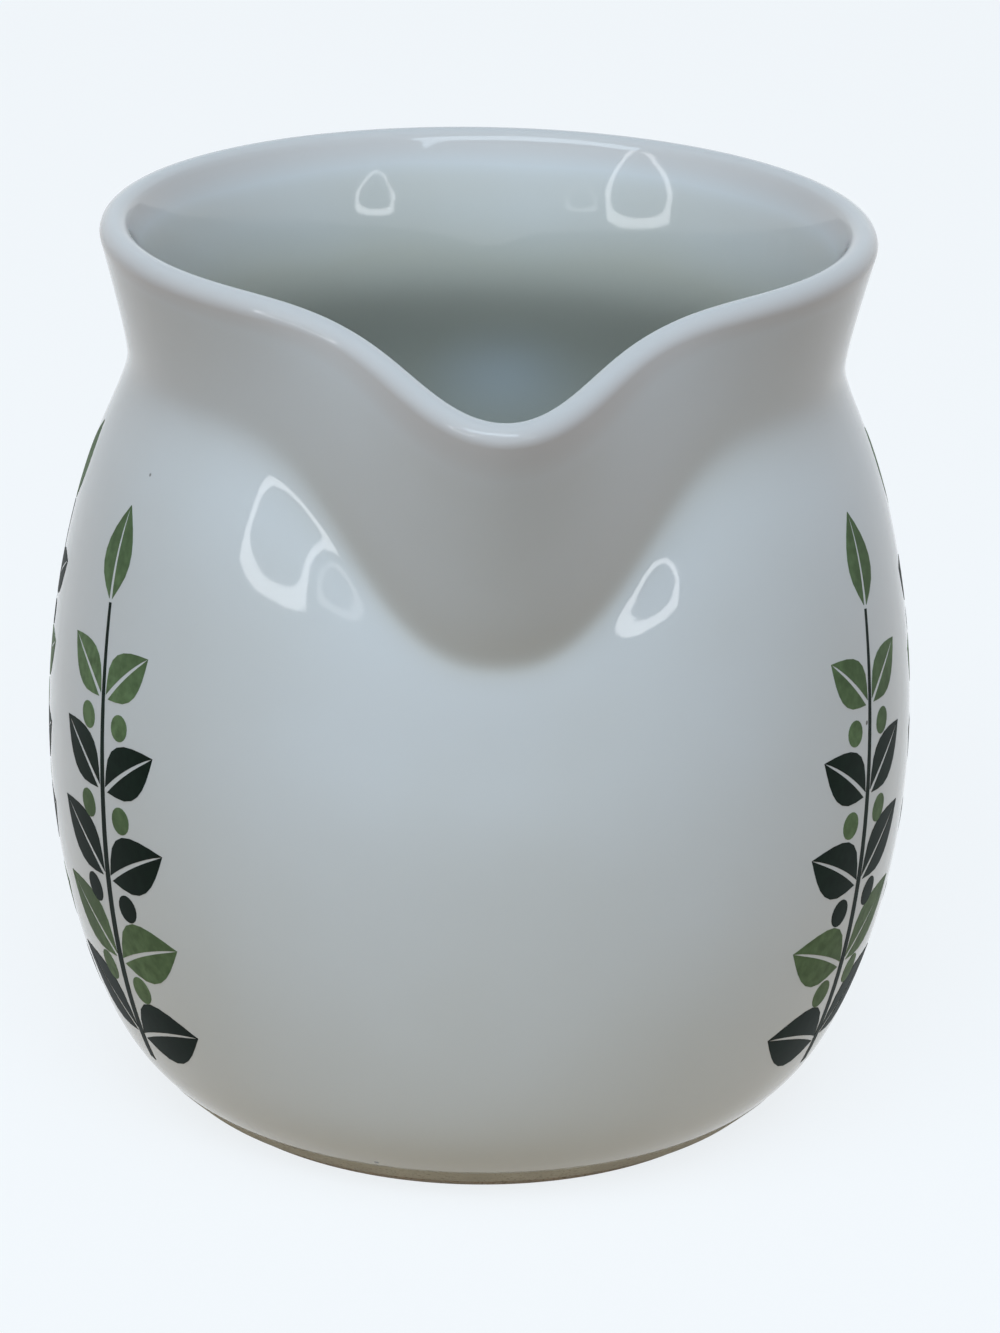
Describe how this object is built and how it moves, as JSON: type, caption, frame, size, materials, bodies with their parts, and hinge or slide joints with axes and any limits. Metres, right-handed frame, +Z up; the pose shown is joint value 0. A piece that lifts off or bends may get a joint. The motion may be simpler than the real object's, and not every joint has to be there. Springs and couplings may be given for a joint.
{
  "type": "ceramic pitcher",
  "caption": "Round-bellied glazed ceramic pitcher with a drawn-in neck, a pinched pouring spout, a bare foot ring and a strap handle behind.",
  "frame": {"origin": "On the surface the pitcher stands on, at the middle of its outline: midway between the lip and the back of the handle. The body's own upright axis stands 11.56 mm from it, towards the spout.", "axes": "+Z up. The spout points along -Y and the handle along +Y. X runs across."},
  "size_m": [0.1248, 0.1678, 0.1301],
  "materials": {
    "glaze": "gloss",
    "bare_clay": "matte",
    "print_dark": "satin",
    "print_green": "satin"
  },
  "bodies": {
    "root": {"body": "glaze", "foot_ring": "bare_clay", "handle": "glaze", "upper_lute": "glaze", "lower_lute": "glaze"}
  },
  "joints": []
}
